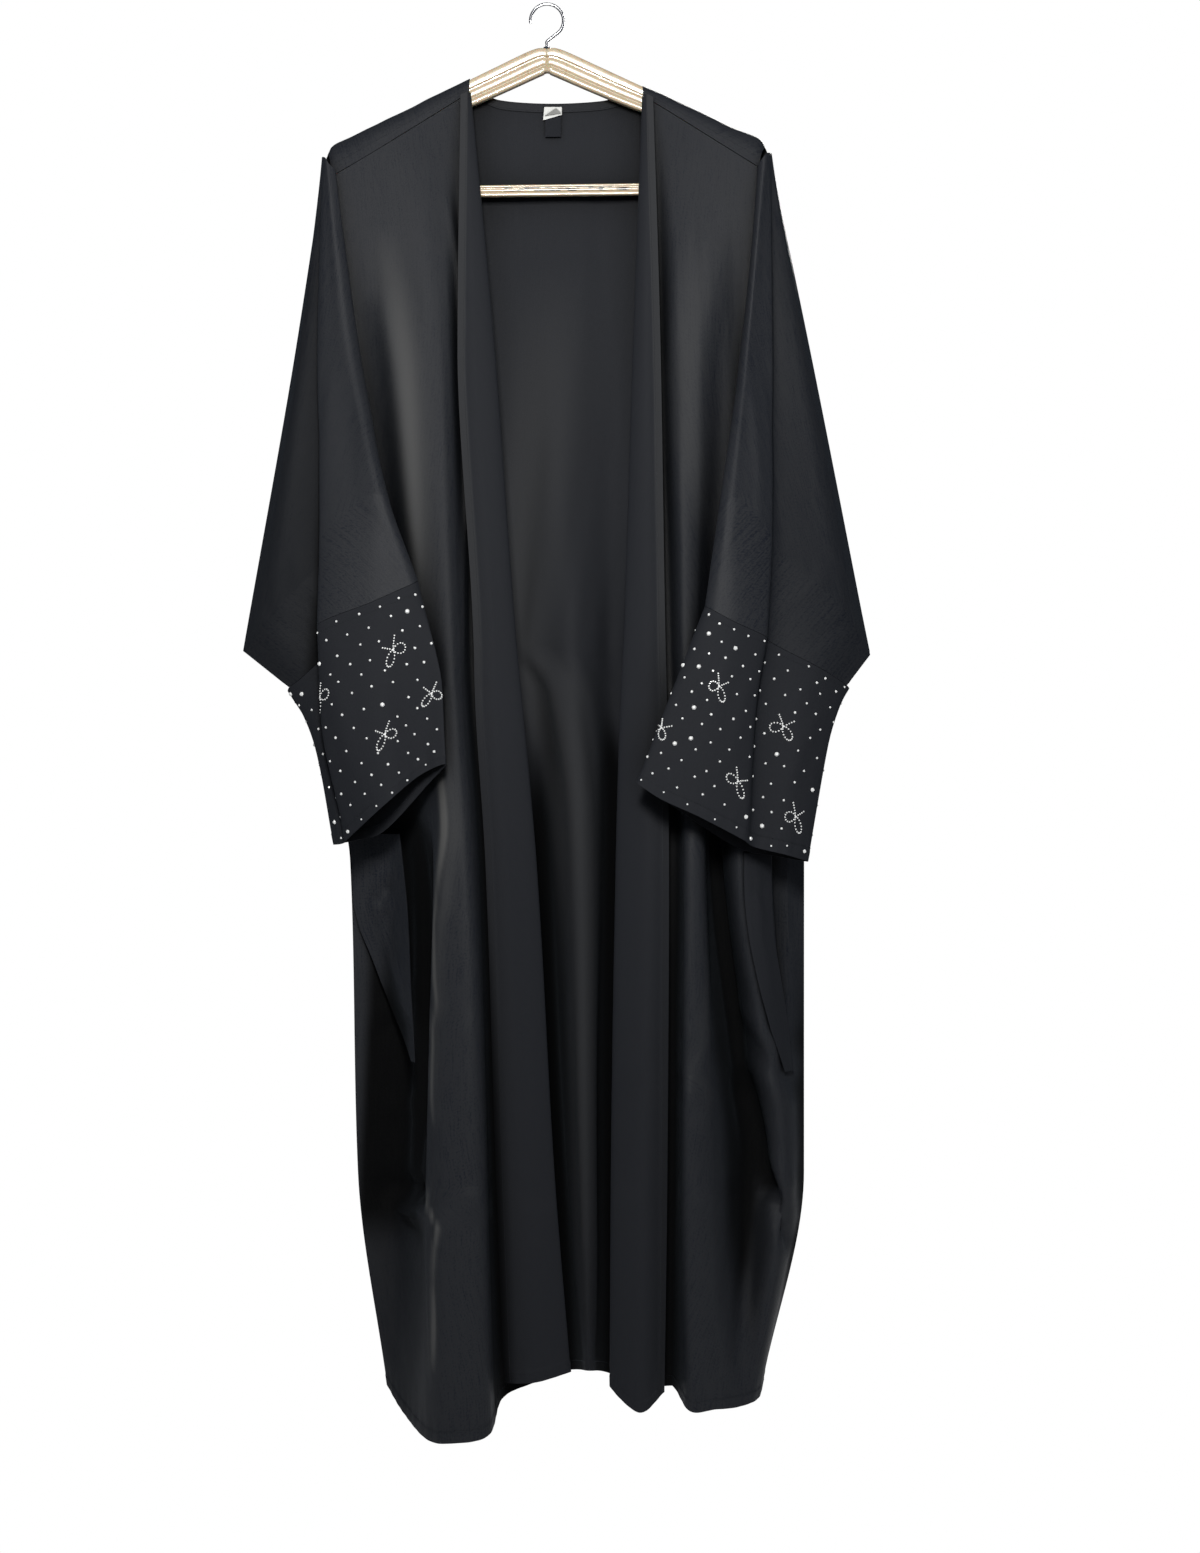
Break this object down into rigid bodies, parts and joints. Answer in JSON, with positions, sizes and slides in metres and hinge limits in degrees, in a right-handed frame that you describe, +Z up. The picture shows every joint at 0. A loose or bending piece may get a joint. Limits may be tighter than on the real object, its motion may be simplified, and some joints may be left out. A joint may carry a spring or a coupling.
{
  "type": "abaya cloak on a hanger",
  "caption": "Long open-front cloak with wide sleeves, deep turned cuffs and rolled front edges, hanging on a plain clothes hanger with a wire hook.",
  "frame": {"origin": "inside top of the hook's eye, where it rests on a rail", "axes": "+Z up along the hook's stem, the open front faces -Y, the wearer's left sleeve is at +X"},
  "size_m": [0.6449, 0.1609, 1.4555],
  "materials": {
    "cloak_cloth": "matt-sheened near-black crepe with a soft drape",
    "label_fabric": "woven white tape, blank",
    "hanger_plastic": "milky ribbed moulded plastic",
    "hook_metal": "bright plated wire"
  },
  "bodies": {
    "root": {"front_right": "cloak_cloth", "front_left": "cloak_cloth", "back_shoulder_right": "cloak_cloth", "back_shoulder_left": "cloak_cloth", "back_sleeve_right": "cloak_cloth", "back_wing_right": "cloak_cloth", "back_right": "cloak_cloth", "back_left": "cloak_cloth", "back_wing_left": "cloak_cloth", "back_sleeve_left": "cloak_cloth", "back_skirt_right": "cloak_cloth", "back_skirt_left": "cloak_cloth", "neck_band": "cloak_cloth", "sleeve_right": "cloak_cloth", "sleeve_left": "cloak_cloth", "cuff_right": "cloak_cloth", "cuff_left": "cloak_cloth", "pocket_right": "cloak_cloth", "pocket_left": "cloak_cloth", "label": "label_fabric", "size_tab": "cloak_cloth", "hanger_frame": "hanger_plastic", "hook": "hook_metal", "hook_collar": "hook_metal"}
  },
  "joints": []
}
